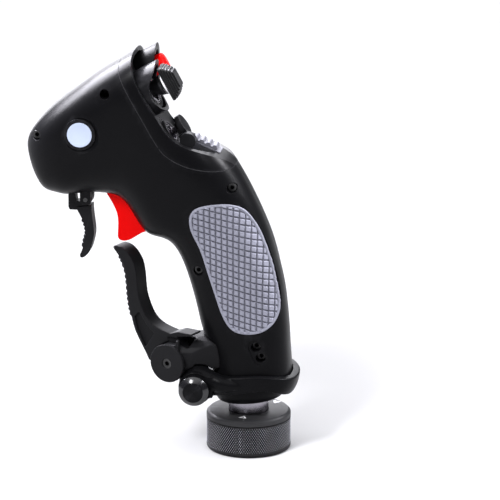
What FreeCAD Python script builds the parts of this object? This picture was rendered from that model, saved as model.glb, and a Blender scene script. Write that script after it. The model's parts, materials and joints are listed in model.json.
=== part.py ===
import FreeCAD, Part
import math
import os

# A flight joystick grip: a pistol handle that leans forward into a wide head, on a quick-release
# ring nut. Millimetres. Origin on the ring nut's axis at its bottom face. +Z up, +X towards the
# pilot, so the nose points to -X and the pilot's left hand side is -Y.

V = FreeCAD.Vector
Z_AXIS = V(0, 0, 1)
Y_AXIS = V(0, 1, 0)
LEFT = -1
RIGHT = 1

# ---- driving dimensions ----------------------------------------------------------------------
shell_wall = 3.0
running_gap = 0.05
face_gap = 0.15

ring_radius = 22.5
ring_height = 20.8
thread_radius = 17.0
thread_depth = 10.4
ring_web_bottom = 15.2
neck_radius = 10.6
neck_bore_radius = 7.0
neck_flange_radius = 14.5
neck_flange_bottom = 11.5
neck_top = 44.0
connector_face = 13.5
connector_pin_tip = 10.8
connector_pin_radius = 0.5
connector_pin_circle = 4.2
connector_pin_count = 5
dome_top = 36.5

pad_depth = 1.4
pad_proud = 0.5

screw_bore_radius = 1.6
screw_pilot_radius = 1.3
screw_shank_radius = 1.25
screw_head_radius = 2.2
screw_head_height = 1.8
screw_hole_radius = 2.6
screw_boss_radius = 4.2

trigger_width = 13.0
trigger_pin_radius = 1.5
flip_width = 7.6
flip_pin_radius = 1.2
spring_wire_radius = 0.56

lever_turn = 24.0
lever_width = 9.6
lever_knuckle_width = 8.2
lever_hub_radius = 8.6
bracket_ear_radius = 10.0
far_ear_radius = 8.0
bracket_half_width = 9.2
hinge_pin_radius = 2.5
hinge_cap_radius = 10.3
far_cap_radius = 8.0
hinge_cap_thickness = 2.0

clamp_radius = 8.9
lug_radius = 5.6
boss_inner_y = 17.4
boss_outer_y = 24.4
clamp_bolt_radius = 2.5
knob_radius = 8.0
knob_length = 7.0
rest_thickness = 4.4
rest_gap = 0.4

panel_tilt = 28.4
hat_side = 9.8
shroud_radius = 13.0
shroud_wall = 1.8
hat_disc_radius = 6.2
hat_cap_radius = 9.4
hat_cap_steps = 6
red_side = -12.4
red_up = 6.6
red_button_radius = 6.0
red_shroud_radius = 10.6
red_shroud_wall = 3.0
red_switch_radius = 6.2
red_shroud_at = V(7.6, -12.9, 0)
red_travel = 2.0
push_travel = 0.8

stick_tilt = 35.0
stick_disc_radius = 5.9
stick_barrel_radius = 4.2
stick_barrel_at = V(-7.0, 7.2, 0.1)
slider_slope = 22.5
slider_travel = 2.0
slider_ridges = 4
valley_radius = 9.0
valley_start = V(-38.5, -12, 176.9)
valley_end = V(-8.5, -12, 169.1)

side_button_radius = 6.5
side_button_travel = 1.5
side_dish_radius = 11.0

# ---- places in the side view, as (x, z) ------------------------------------------------------
trigger_pin_at = (-63.5, 142.5)
flip_pin_at = (-86.2, 134.3)
side_button_at = (-85.2, 174.4)
hinge_at = V(-36.3, -11.3, 50.7)
clamp_at = (-25.3, 38.4)
panel_at = (-52.8, 194.2)
stick_at = (-34.6, 175.4)
slider_at = (-23.2, 166.1)
shell_screws_at = [(-110.4, 170.4), (-71.9, 196.2), (-6.6, 146.4), (-24.4, 101.1)]
base_screws_at = [(6.3, 60.9), (8.9, 55.2)]

# ---- sections of the outer body --------------------------------------------------------------
# Each section is a closed oval square to the side view: its rear or upper end (x, z), its front
# or lower end (x, z), its half width, and how square its rear and its front halves are.
sections = [
    ((13.2, 29.0), (-13.0, 26.6), 12.6, 2.2, 2.2),
    ((20.0, 32.4), (-16.8, 28.8), 17.8, 2.3, 2.3),
    ((22.5, 39.0), (-18.6, 35.5), 19.8, 2.5, 2.5),
    ((22.9, 47.0), (-18.9, 45.0), 19.6, 2.5, 2.5),
    ((22.3, 56.0), (-19.2, 54.0), 19.2, 2.5, 2.5),
    ((21.7, 67.0), (-23.4, 64.0), 19.2, 2.5, 2.5),
    ((20.8, 78.0), (-26.4, 75.0), 19.4, 2.5, 2.5),
    ((19.3, 90.0), (-29.3, 87.0), 19.7, 2.5, 2.5),
    ((16.6, 102.5), (-33.0, 99.0), 20.1, 2.5, 2.5),
    ((12.9, 116.0), (-37.6, 109.0), 20.7, 2.6, 2.4),
    ((8.2, 128.0), (-42.3, 114.0), 21.6, 2.6, 2.3),
    ((2.2, 140.5), (-47.6, 115.8), 22.8, 2.7, 2.2),
    ((-4.3, 152.3), (-53.2, 117.4), 24.2, 2.7, 2.2),
    ((-11.0, 162.0), (-57.4, 121.8), 25.4, 2.8, 2.2),
    ((-21.5, 173.5), (-61.4, 128.8), 26.2, 2.8, 2.2),
    ((-35.5, 193.5), (-66.4, 135.4), 26.6, 2.9, 2.2),
    ((-52.0, 217.0), (-74.8, 138.0), 26.6, 3.2, 2.2),
    ((-66.6, 211.6), (-83.2, 138.2), 26.4, 3.2, 2.2),
    ((-79.8, 203.2), (-90.5, 137.4), 25.6, 3.0, 2.3),
    ((-91.6, 194.2), (-97.0, 137.0), 23.8, 2.9, 2.4),
    ((-101.4, 186.2), (-101.8, 137.8), 21.0, 2.7, 2.4),
    ((-109.0, 178.6), (-105.8, 138.6), 17.4, 2.5, 2.4),
    ((-114.4, 171.6), (-109.2, 140.8), 13.0, 2.3, 2.4),
    ((-117.2, 165.0), (-112.2, 145.4), 8.0, 2.2, 2.4),
]
section_steps = 16

# The seam between the main shells and the thumb panel.
seam_line = [(-67.4, 226), (-66.4, 214), (-65.0, 207.4), (-61.8, 200.8), (-53.6, 186.4),
             (-43.5, 169.0), (-37.2, 163.0), (-28.9, 158.9), (-19.9, 156.6), (-12.1, 155.7),
             (-4.6, 156.0), (6.0, 158.5)]
# The edge of the panel's side walls, which also trims the panel's crowned lower end.
rim_line = [(-61.5, 232), (-59.6, 216), (-57.4, 206.1), (-52.9, 197.3), (-46.2, 186.6),
            (-38.6, 175.2), (-31.4, 169.4), (-22.7, 165.7), (-15.3, 162.6), (-9.8, 159.2),
            (-4.0, 152.0), (4.0, 140.0)]
# The floor of the recess that the thumb controls stand in, and the underside of that floor.
floor_line = [(-76.0, 219.6), (-68.4, 213.4), (-62.8, 207.6), (-58.0, 198.6), (-51.4, 187.0),
              (-45.2, 175.4), (-40.4, 167.4), (-33.6, 162.8), (-28.6, 163.2), (-26.0, 168.5),
              (-25.0, 176.0)]
far_rim_drop = [0, 0, 0, 6.0, 13.5, 16.5, 16.5, 15.0, 13.5, 7.5, 0, 0]
far_rim_from = 6.0
far_rim_to = 60.0
under_line = [(-74.0, 208.0), (-66.4, 203.6), (-60.6, 195.8), (-53.8, 184.6), (-47.6, 173.2),
              (-42.6, 165.0), (-34.4, 160.0), (-26.6, 160.0), (-19.6, 161.0), (-13.0, 158.2),
              (-8.4, 153.0), (-2.0, 143.0)]

pad_line = [(-28.2, 130.0), (-25.4, 136.2), (-18.0, 138.6), (-8.6, 138.8), (-2.0, 136.8),
            (4.6, 129.6), (10.4, 118.2), (15.0, 103.6), (17.8, 91.6), (18.6, 82.4),
            (16.2, 74.4), (10.0, 69.2), (1.9, 67.8), (-5.6, 69.4), (-10.3, 75.0),
            (-14.6, 86.4), (-19.6, 102.4), (-24.0, 116.0)]

trigger_front = [(-76.6, 141.5), (-74.2, 138.0), (-71.2, 132.8), (-69.2, 128.0), (-68.6, 122.4),
                 (-68.9, 115.6)]
trigger_bottom = [(-68.9, 115.6), (-67.6, 113.4), (-64.4, 113.1), (-59.1, 115.7), (-52.9, 118.6)]
trigger_rear = [(-52.9, 118.6), (-50.4, 122.6), (-54.6, 131.4), (-57.4, 140.4), (-60.0, 146.0),
                (-64.5, 147.5), (-72.0, 145.2), (-76.6, 141.5)]

flip_front = [(-91.6, 129.4), (-88.6, 123.6), (-87.0, 119.5), (-86.5, 115.7), (-87.4, 112.0),
              (-88.3, 107.6), (-89.8, 103.9)]
flip_tip = [(-89.8, 103.9), (-89.4, 102.2), (-87.6, 102.4)]
flip_rear = [(-87.6, 102.4), (-84.9, 105.2), (-83.0, 110.4), (-82.1, 115.8), (-82.3, 119.7),
             (-83.0, 125.2), (-83.2, 131.0)]

# The brake lever in its own plane: forward of the hinge, above the hinge.
lever_rear = [(33.8, 57.8), (30.1, 56.4), (27.0, 53.6), (24.4, 49.4), (23.2, 44.6), (22.6, 39.4),
              (21.8, 32.6), (19.6, 26.3), (17.0, 21.6), (13.0, 18.0), (8.0, 16.0), (1.9, 14.6)]
lever_front = [(15.4, -2.0), (20.9, 7.3), (24.4, 13.8), (26.2, 19.4), (27.6, 24.4), (28.4, 29.0),
               (28.9, 34.2), (29.4, 39.6), (30.2, 44.8), (32.2, 49.8), (34.9, 53.4), (37.3, 56.0)]
lever_tip = [(37.3, 56.0), (37.4, 57.4), (35.8, 57.9), (33.8, 57.8)]
pad_on_lever = [(26.6, 20.4), (27.8, 24.6), (28.6, 29.1), (29.1, 34.2), (29.6, 39.6), (30.5, 44.7),
                (32.5, 49.6), (34.6, 52.6)]


# ---- helpers ---------------------------------------------------------------------------------
def side_point(place, y=0.0):
    return V(place[0], y, place[1])


def curve(points, y=0.0):
    spline = Part.BSplineCurve()
    spline.interpolate([side_point(p, y) for p in points])
    return spline.toShape()


def closed_curve(points, y=0.0):
    spline = Part.BSplineCurve()
    spline.interpolate([side_point(p, y) for p in points], PeriodicFlag=True)
    return spline.toShape()


def lines(points, y=0.0):
    return [Part.makeLine(side_point(a, y), side_point(b, y)) for a, b in zip(points, points[1:])]


def prism(edges, half_width, centre=0.0):
    """A side-view outline made into a solid, symmetric about y = centre."""
    face = Part.Face(Part.Wire(Part.__sortEdges__(edges)))
    face.translate(V(0, centre - half_width, 0))
    return face.extrude(V(0, 2 * half_width, 0))


def box(low, high):
    return Part.makeBox(high[0] - low[0], high[1] - low[1], high[2] - low[2], V(*low))


def rod(radius, start, end):
    return Part.makeCylinder(radius, (end - start).Length, start, end - start)


def tube(outer, inner, start, end):
    return rod(outer, start, end).cut(rod(inner, start, end))


def cross_rod(radius, place, y0, y1):
    return rod(radius, side_point(place, y0), side_point(place, y1))


def fused(shapes):
    result = shapes[0]
    for shape in shapes[1:]:
        result = result.fuse(shape)
    return result.removeSplitter()


def frame_at(origin, x_dir, y_dir, z_dir):
    return FreeCAD.Placement(origin, FreeCAD.Rotation(x_dir, y_dir, z_dir, "ZXY"))


def placed(shape, frame):
    result = shape.copy()
    result.Placement = frame.multiply(result.Placement)
    return result


def tilted_frame(place, angle):
    """Local Z leaves a thumb panel at this angle above level, local X runs up the panel and
    local Y points to the pilot's left."""
    c = math.cos(math.radians(angle))
    s = math.sin(math.radians(angle))
    return frame_at(side_point(place), V(-s, 0, c), V(0, -1, 0), V(c, 0, s))


panel_frame = tilted_frame(panel_at, panel_tilt)
stick_frame = tilted_frame(stick_at, stick_tilt)
slider_frame = tilted_frame(slider_at, 90.0 - slider_slope)
lever_frame = FreeCAD.Placement(hinge_at, FreeCAD.Rotation(Z_AXIS, 180.0 - lever_turn))


# ---- the outer body --------------------------------------------------------------------------
def section_point(section, turn, side, widen, raise_end, lower_end):
    rear, front, half_width, rear_power, front_power = section
    length = math.hypot(rear[0] - front[0], rear[1] - front[1])
    ux = (rear[0] - front[0]) / length
    uz = (rear[1] - front[1]) / length
    reach = length / 2 + (raise_end + lower_end) / 2
    shift = (raise_end - lower_end) / 2
    c = math.cos(turn)
    power = 2.0 / (rear_power if c >= 0 else front_power)
    along = math.copysign(abs(c) ** power, c) * reach + shift
    across = max(math.sin(turn), 0.0) ** power * (half_width + widen)
    middle_x = (rear[0] + front[0]) / 2
    middle_z = (rear[1] + front[1]) / 2
    return V(middle_x + ux * along, side * across, middle_z + uz * along)


def half_body(side, widen=0.0, raise_end=None, lower_end=None, first=0, last=None):
    """One half of the outer body, from the middle plane outwards, grown or shrunk."""
    raise_end = widen if raise_end is None else raise_end
    lower_end = widen if lower_end is None else lower_end
    rows = []
    for section in sections[first:last]:
        row = [section_point(section, math.pi * k / section_steps, side, widen, raise_end, lower_end)
               for k in range(section_steps + 1)]
        row[0].y = 0.0
        row[-1].y = 0.0
        rows.append(row)
    surface = Part.BSplineSurface()
    surface.interpolate(rows)
    skin = surface.toShape()
    ends = [e for e in skin.Edges if abs(e.valueAt((e.FirstParameter + e.LastParameter) / 2).y) > 1]
    sides = [e for e in skin.Edges if not any(e.isSame(g) for g in ends)]
    closers = [Part.makeLine(e.valueAt(e.FirstParameter), e.valueAt(e.LastParameter)) for e in ends]
    flat = Part.Face(Part.Wire(Part.__sortEdges__(sides + closers)))
    caps = [Part.Face(Part.Wire(Part.__sortEdges__([e, c]))) for e, c in zip(ends, closers)]
    sheet = Part.Compound([skin, flat] + caps)
    sheet.sewShape(0.001)
    solid = Part.Solid(sheet.Shells[0])
    if solid.Volume < 0:
        solid.reverse()
    return solid


def whole_body(widen=0.0, raise_end=None, lower_end=None, first=0, last=None):
    halves = [half_body(side, widen, raise_end, lower_end, first, last) for side in (LEFT, RIGHT)]
    return halves[0].fuse(halves[1]).removeSplitter()


def beyond(line, corners):
    """The region on one side of a side-view line, closed through the given corners."""
    return prism([curve(line)] + lines([line[-1]] + corners + [line[0]]), 60)


past_seam = beyond(seam_line, [(60, 158.5), (60, 226)])
past_rim = beyond(rim_line, [(60, 140.0), (60, 232)])
past_floor = beyond(floor_line, [(60, 176.0), (60, 218.0)])
within_under = beyond(under_line, [(-2.0, 120), (-90, 120), (-90, 208.0)])
below_dome = box((-60, -60, 0), (60, 60, dome_top))
outer_body = whole_body()
inner_body = whole_body(-shell_wall, first=1, last=-1)


# ---- neck and ring nut -----------------------------------------------------------------------
def ring_nut():
    outer = rod(ring_radius, V(0, 0, 0), V(0, 0, ring_height))
    bottom = [e for e in outer.Edges if len(e.Vertexes) == 1 and e.CenterOfMass.z < 1]
    body = outer.makeFillet(1.6, bottom)
    top = [e for e in body.Edges if len(e.Vertexes) == 1 and abs(e.CenterOfMass.z - ring_height) < 0.1]
    body = body.makeChamfer(1.4, top)
    body = body.cut(rod(thread_radius, V(0, 0, -1), V(0, 0, ring_web_bottom)))
    body = body.cut(rod(thread_radius + 0.7, V(0, 0, thread_depth), V(0, 0, ring_web_bottom)))
    body = body.cut(rod(neck_radius + running_gap, V(0, 0, 0), V(0, 0, ring_height + 1)))
    groove = tube(ring_radius + 1, ring_radius - 0.5, V(0, 0, 17.0), V(0, 0, 17.5))
    return body.cut(groove)


def neck_post():
    post = rod(neck_radius, V(0, 0, neck_flange_bottom), V(0, 0, neck_top))
    flange = rod(neck_flange_radius, V(0, 0, neck_flange_bottom), V(0, 0, ring_web_bottom - face_gap))
    anchor = rod(neck_radius + 3.0, V(0, 0, dome_top - 5.5), V(0, 0, neck_top - 4))
    bore = rod(neck_bore_radius, V(0, 0, 0), V(0, 0, neck_top + 1))
    return fused([post, flange, anchor]).cut(bore)


def connector_body():
    body = rod(neck_bore_radius, V(0, 0, connector_face), V(0, 0, connector_face + 11))
    recess = rod(neck_bore_radius - 1.2, V(0, 0, 0), V(0, 0, connector_face + 1.5))
    return body.cut(recess).cut(connector_pins())


def connector_pins():
    pins = []
    for k in range(connector_pin_count):
        turn = 2 * math.pi * k / connector_pin_count
        x = connector_pin_circle * math.cos(turn)
        y = connector_pin_circle * math.sin(turn)
        pins.append(rod(connector_pin_radius, V(x, y, connector_pin_tip), V(x, y, connector_face + 8)))
    return Part.Compound(pins)


def base_dome():
    dome = outer_body.common(below_dome)
    dome = dome.cut(whole_body(-shell_wall).common(box((-60, -60, 31.0), (60, 60, dome_top))))
    seat = rod(neck_radius + 6.0, V(0, 0, 28.5), V(0, 0, dome_top - 5.5))
    dome = fused([dome, seat.common(outer_body)])
    dome = dome.cut(rod(neck_radius, V(0, 0, 0), V(0, 0, 60)))
    return dome.cut(clamp_lug_space())


# ---- clamp, hand rest and its knob -----------------------------------------------------------
def clamp_lug_space():
    return box((-40, -boss_inner_y + 0.1, 31.0), (-13.9, boss_inner_y - 0.1, 44.1))


def clamp_lug():
    """The solid lug in front of the grip's foot that the hand rest is clamped to."""
    reach = boss_inner_y - 0.2
    barrel = cross_rod(lug_radius, clamp_at, -reach, reach)
    block = box((clamp_at[0], -reach, clamp_at[1] - lug_radius), (-14.0, reach, clamp_at[1] + lug_radius))
    bolt_hole = cross_rod(clamp_bolt_radius + running_gap, clamp_at, -20, 20)
    return fused([barrel, block]).cut(bolt_hole)


def hand_rest():
    """A yoke round the foot of the grip, pivoting on the clamp bolt, with a shelf at the rear."""
    ring = whole_body(rest_thickness).cut(whole_body(rest_gap))
    top = [(-34, 49.0), (-22, 46.8), (-13, 44.8), (0, 45.4), (12, 45.6), (20, 44.2), (27, 42.2), (36, 40.0)]
    bottom = [(36, 31.0), (30, 31.2), (24, 32.6), (18, 36.0), (9, 38.0), (-2, 36.0), (-14, 34.0),
              (-34, 29.6)]
    ends = lines([top[-1], bottom[0]]) + lines([bottom[-1], top[0]])
    band = prism([curve(top), curve(bottom)] + ends, 60)
    ring = ring.common(band).cut(box((-60, -60, 0), (-17.0, 60, 60)))
    ring = ring.cut(box((-60, -boss_inner_y, 0), (0, boss_inner_y, 60)))
    pieces = [ring]
    for side in (LEFT, RIGHT):
        y0, y1 = sorted((side * boss_inner_y, side * boss_outer_y))
        pieces.append(cross_rod(clamp_radius, clamp_at, y0, y1))
        arm = box((clamp_at[0], y0, 33.2), (-10.0, y1, 48.0))
        pieces.append(arm.common(band).common(whole_body(rest_thickness)))
        pieces.append(box((clamp_at[0], y0, clamp_at[1] - 5.0), (-16.0, y1, clamp_at[1] + 7.0)))
    rest = fused(pieces).cut(whole_body(rest_gap))
    rest = rest.cut(cross_rod(clamp_bolt_radius + running_gap, clamp_at, -40, 40))
    return max(rest.Solids, key=lambda solid: solid.Volume)


def clamp_bolt():
    return cross_rod(clamp_bolt_radius, clamp_at, -28.0, 27.6)


def clamp_knob():
    knob = cross_rod(knob_radius, clamp_at, -boss_outer_y - 0.2 - knob_length, -boss_outer_y - 0.2)
    outer_edge = [e for e in knob.Edges if abs(e.CenterOfMass.y + boss_outer_y + 0.2 + knob_length) < 0.01]
    knob = knob.makeChamfer(2.2, outer_edge)
    return knob.cut(cross_rod(clamp_bolt_radius, clamp_at, -28.0, 0))


def clamp_nut():
    nut = cross_rod(knob_radius - 1.0, clamp_at, boss_outer_y + 0.2, 30.0)
    return nut.cut(cross_rod(clamp_bolt_radius + running_gap, clamp_at, 0, 27.8))


# ---- main shells -----------------------------------------------------------------------------
def pad_prism():
    return prism([closed_curve(pad_line)], 60)


def trigger_slot():
    edges = lines([(-78.5, 136), (-78.5, 152), (-48.0, 152), (-46.6, 112), (-70, 106), (-78.5, 136)])
    return prism(edges, trigger_width / 2 + 0.4)


def flip_slot():
    return box((-98.6, -6.2, 120), (-79.6, 6.2, 150))


def screw_places():
    return shell_screws_at + base_screws_at


def screw_seat(place):
    """How far out from the middle plane the screw's head bears."""
    return 9.0 if place == shell_screws_at[0] else 12.5


def main_shell(side):
    reach = 60 * side
    shell = half_body(side).cut(half_body(side, -shell_wall, first=1, last=-1))
    room = half_body(side, -shell_wall + 0.2)
    for place in screw_places():
        shell = shell.fuse(cross_rod(screw_boss_radius, place, 0, reach).common(room))
    shell = shell.fuse(cross_rod(trigger_pin_radius + 2.2, trigger_pin_at, 0, reach).common(room))
    shell = shell.cut(past_seam).cut(below_dome)
    shell = shell.cut(trigger_slot()).cut(flip_slot()).cut(clamp_lug_space())
    shell = shell.cut(pad_prism().common(half_body(side, 10).cut(half_body(side, -pad_depth))))
    shell = shell.cut(rod(neck_radius + 3.2, V(0, 0, 0), V(0, 0, neck_top + 0.5)))
    shell = shell.cut(cross_rod(trigger_pin_radius, trigger_pin_at, 0, 12.0 * side))
    for place in screw_places():
        if side == LEFT:
            shell = shell.cut(cross_rod(screw_bore_radius, place, 0, reach))
            shell = shell.cut(cross_rod(screw_hole_radius, place, -screw_seat(place), reach))
        else:
            shell = shell.cut(cross_rod(screw_pilot_radius, place, 0, 11.0))
    if side == LEFT:
        shell = shell.cut(side_dish()).cut(oval_recess())
    return max(shell.Solids, key=lambda solid: solid.Volume)


def side_dish():
    """A shallow saucer in the head's side, with the round hole for the side button."""
    cone = Part.makeCone(side_dish_radius - 3.0, side_dish_radius + 3.0, 6.0,
                         side_point(side_button_at, -23.6), V(0, -1, 0))
    return cone.fuse(cross_rod(bezel_radius(), side_button_at, -40, -14.0))


def bezel_radius():
    return side_button_radius + 1.8


def oval_recess():
    """The shallow oval pocket that holds the two lower screws."""
    a, b = base_screws_at
    shift = V(b[0] - a[0], 0, b[1] - a[1])
    ends = fused([cross_rod(3.9, a, -60, -18.6), cross_rod(3.9, b, -60, -18.6)])
    across = V(shift.z, 0, -shift.x).normalize() * 3.9
    start = side_point(a, -60)
    corners = [start + across, start + across + shift, start - across + shift, start - across]
    slab = Part.Face(Part.makePolygon(corners + corners[:1])).extrude(V(0, 41.4, 0))
    return fused([ends, slab])


def grip_pad(side):
    band = half_body(side, pad_proud).cut(half_body(side, -pad_depth))
    return pad_prism().common(band)


def fasteners(places):
    screws = []
    for place in places:
        seat = -screw_seat(place)
        head = cross_rod(screw_head_radius, place, seat - screw_head_height, seat)
        socket = cross_rod(screw_head_radius * 0.5, place, seat - screw_head_height, seat - 0.8)
        screws.append(fused([head, cross_rod(screw_shank_radius, place, seat, 10.0)]).cut(socket))
    return Part.Compound(screws)


# ---- thumb panel -----------------------------------------------------------------------------
def panel_recess():
    """The hollow behind the panel's rim, which the thumb controls stand in."""
    return whole_body(-shell_wall, first=8).common(past_floor)


def far_rim_relief():
    """The far wall of the recess falls away more steeply than the near one."""
    out = panel_frame.Rotation.multVec(Z_AXIS)
    fallen = [(x - out.x * drop, z - out.z * drop) for (x, z), drop in zip(rim_line, far_rim_drop)]
    wires = []
    for line, y in ((rim_line, far_rim_from), (fallen, far_rim_to)):
        corners = [line[-1], (60, 140.0), (60, 232), line[0]]
        wires.append(Part.Wire([curve(line, y)] + lines(corners, y)))
    return Part.makeLoft(wires, True, True)


def panel_valley():
    """The shallow valley between the near wall and the ramp that carries the slider."""
    return rod(valley_radius, valley_start, valley_end).common(whole_body(-shell_wall, first=8))


def thumb_panel():
    panel = outer_body.common(past_seam).cut(past_rim).cut(far_rim_relief())
    panel = panel.cut(panel_recess()).cut(panel_valley())
    panel = panel.cut(whole_body(-shell_wall, first=1, last=-1).common(within_under))
    panel = panel.cut(placed(rod(shroud_radius, V(0, hat_side, -20), V(0, hat_side, 30)), panel_frame))
    red_well = rod(red_shroud_radius, red_shroud_at - V(0, 0, 20), red_shroud_at + V(0, 0, 30))
    panel = panel.cut(placed(red_well, panel_frame))
    panel = panel.cut(placed(rod(7.8, V(0, 0, -20), V(0, 0, 3)), stick_frame))
    swing_start = stick_barrel_at + V(-1.3, -1.8, -0.7)
    swing = rod(stick_barrel_radius + 2.0, swing_start, swing_start + V(0, 9.8, 0))
    panel = panel.cut(placed(swing, stick_frame))
    panel = panel.cut(placed(box(slider_low, slider_high), slider_frame))
    panel = panel.cut(placed(box((-9.6, -5.5, -12.0), (8.4, 5.5, -4.0)), slider_frame))
    return max(panel.Solids, key=lambda solid: solid.Volume)


def clear_of_walls(shape):
    """Trim a piece that stands in the recess so that it clears the panel's side walls."""
    walls = outer_body.cut(whole_body(-shell_wall - face_gap, first=8)).cut(past_rim)
    return shape.cut(walls)


def saddle(heights, side):
    """Everything above a saddle-shaped rim, given as (up the panel, out of the panel)."""
    spline = Part.BSplineCurve()
    spline.interpolate([V(up, 0, out) for up, out in heights])
    top = [V(heights[-1][0], 0, 60), V(heights[0][0], 0, 60)]
    corners = [V(heights[-1][0], 0, heights[-1][1])] + top + [V(heights[0][0], 0, heights[0][1])]
    edges = [spline.toShape()] + [Part.makeLine(a, b) for a, b in zip(corners, corners[1:])]
    face = Part.Face(Part.Wire(Part.__sortEdges__(edges)))
    face.translate(V(0, side - 30, 0))
    return face.extrude(V(0, 60, 0))


def hat_shroud():
    wall = tube(shroud_radius, shroud_radius - shroud_wall, V(0, hat_side, -5.0), V(0, hat_side, 20))
    rim = [(-16, 9.4), (-12.4, 6.6), (-8.0, 5.2), (-1.4, 4.6), (4.0, 6.6), (8.6, 10.8), (13.2, 13.8),
           (16, 14.6)]
    plate = rod(shroud_radius, V(0, hat_side, -5.0), V(0, hat_side, -3.4))
    well = rod(10.1, V(0, hat_side, -6.0), V(0, hat_side, 0))
    shroud = placed(fused([wall, plate]).cut(well).cut(saddle(rim, hat_side)), panel_frame)
    return max(clear_of_walls(shroud).Solids, key=lambda solid: solid.Volume)


def button_shroud():
    wall = tube(red_shroud_radius, red_shroud_radius - red_shroud_wall, red_shroud_at - V(0, 0, 5),
                red_shroud_at + V(0, 0, 20))
    rim = [(-8, 6.5), (-4, 5.6), (2, 5.8), (8, 7.0), (13, 9.6), (18, 12.4), (22, 14.0)]
    plate = rod(red_shroud_radius, red_shroud_at - V(0, 0, 5), red_shroud_at - V(0, 0, 3.4))
    shroud = placed(wall.cut(saddle(rim, red_side)).fuse(plate), panel_frame)
    return max(clear_of_walls(shroud).Solids, key=lambda solid: solid.Volume)


# ---- hat switch ------------------------------------------------------------------------------
hat_pivot = 3.0


def hat_switch_body():
    body = rod(10.0, V(0, hat_side, -9.0), V(0, hat_side, -1.0))
    collar = tube(10.0, 8.4, V(0, hat_side, -1.0), V(0, hat_side, hat_pivot + 1.6))
    well = rod(8.4, V(0, hat_side, -2.0), V(0, hat_side, 0))
    axle = rod(1.0 + running_gap, V(0, hat_side - 12, hat_pivot), V(0, hat_side + 12, hat_pivot))
    return placed(fused([body, collar]).cut(well).cut(axle), panel_frame)


def hat_gimbal_ring():
    ring = tube(7.8, 6.0, V(0, hat_side, hat_pivot - 1.6), V(0, hat_side, hat_pivot + 1.6))
    for way in (-1, 1):
        pin = rod(1.0, V(0, hat_side + way * 7.0, hat_pivot), V(0, hat_side + way * 9.9, hat_pivot))
        ring = ring.fuse(pin)
    hole = rod(0.9 + running_gap, V(-10, hat_side, hat_pivot), V(10, hat_side, hat_pivot))
    return placed(ring.removeSplitter().cut(hole), panel_frame)


def hat_stem():
    core = rod(4.2, V(0, hat_side, hat_pivot - 2.0), V(0, hat_side, hat_pivot + 2.4))
    trunnions = rod(0.9, V(-7.4, hat_side, hat_pivot), V(7.4, hat_side, hat_pivot))
    cone = Part.makeCone(4.2, 5.6, 6.0 - 0.6, V(0, hat_side, hat_pivot + 2.4), V(0, 0, 1))
    shaft = rod(2.0, V(0, hat_side, hat_pivot + 6.0), V(0, hat_side, 15.4))
    return placed(fused([core, trunnions, cone, shaft]), panel_frame)


def hat_disc():
    disc = rod(hat_disc_radius, V(0, hat_side, 11.8), V(0, hat_side, 13.0))
    return placed(disc.cut(rod(2.0 + running_gap, V(0, hat_side, 10), V(0, hat_side, 14))), panel_frame)


def hat_cap():
    """A stepped, square-shouldered thumb cap."""
    rise = 6.4 / hat_cap_steps
    layers = []
    for k in range(hat_cap_steps):
        part = k / (hat_cap_steps - 1)
        half_up = hat_cap_radius - 4.6 * part ** 1.6
        half_side = 7.0 - 2.6 * part ** 1.6
        low = 13.0 + rise * k
        layer = box((-half_up, hat_side - half_side, low), (half_up, hat_side + half_side, low + rise))
        layers.append(layer.makeFillet(1.6, [e for e in layer.Edges if abs(e.tangentAt(0.5).z) > 0.9]))
    bore = rod(2.0 + running_gap, V(0, hat_side, 12), V(0, hat_side, 15.4 + push_travel + face_gap))
    return placed(fused(layers).cut(bore), panel_frame)


# ---- red button ------------------------------------------------------------------------------
def red_button():
    cap = rod(red_button_radius, V(red_up, red_side, 4.0), V(red_up, red_side, 12.6))
    dome = Part.makeSphere(26.0, V(red_up, red_side, 12.6 - 26.0))
    cap = cap.common(dome)
    stem = rod(2.0, V(red_up, red_side, 2.2), V(red_up, red_side, 5.0))
    return placed(fused([cap, stem]), panel_frame)


def red_button_switch():
    body = rod(red_switch_radius, V(red_up, red_side, -3.4), V(red_up, red_side, 1.4))
    well = rod(2.0 + running_gap, V(red_up, red_side, -0.4), V(red_up, red_side, 2))
    return placed(body.cut(well), panel_frame)


# ---- mini stick ------------------------------------------------------------------------------
stick_pivot = -8.5


def stick_base():
    body = box((-7.2, -7.2, -16.0), (7.2, 7.2, stick_pivot - 3.4))
    collar = tube(7.2, 5.9, V(0, 0, stick_pivot - 3.4), V(0, 0, stick_pivot + 1.6))
    axle = rod(0.9 + running_gap, V(0, -10, stick_pivot), V(0, 10, stick_pivot))
    return placed(fused([body, collar]).cut(axle), stick_frame)


def stick_gimbal_ring():
    ring = tube(5.4, 4.0, V(0, 0, stick_pivot - 1.4), V(0, 0, stick_pivot + 1.4))
    for way in (-1, 1):
        ring = ring.fuse(rod(0.9, V(0, way * 4.8, stick_pivot), V(0, way * 7.1, stick_pivot)))
    hole = rod(0.8 + running_gap, V(-8, 0, stick_pivot), V(8, 0, stick_pivot))
    return placed(ring.removeSplitter().cut(hole), stick_frame)


def stick_stem():
    core = rod(2.6, V(0, 0, stick_pivot - 1.8), V(0, 0, stick_pivot + 2.2))
    trunnions = rod(0.8, V(-5.2, 0, stick_pivot), V(5.2, 0, stick_pivot))
    shaft = rod(1.8, V(0, 0, stick_pivot + 2.0), V(0, 0, -1.0))
    return placed(fused([core, trunnions, shaft]), stick_frame)


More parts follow.
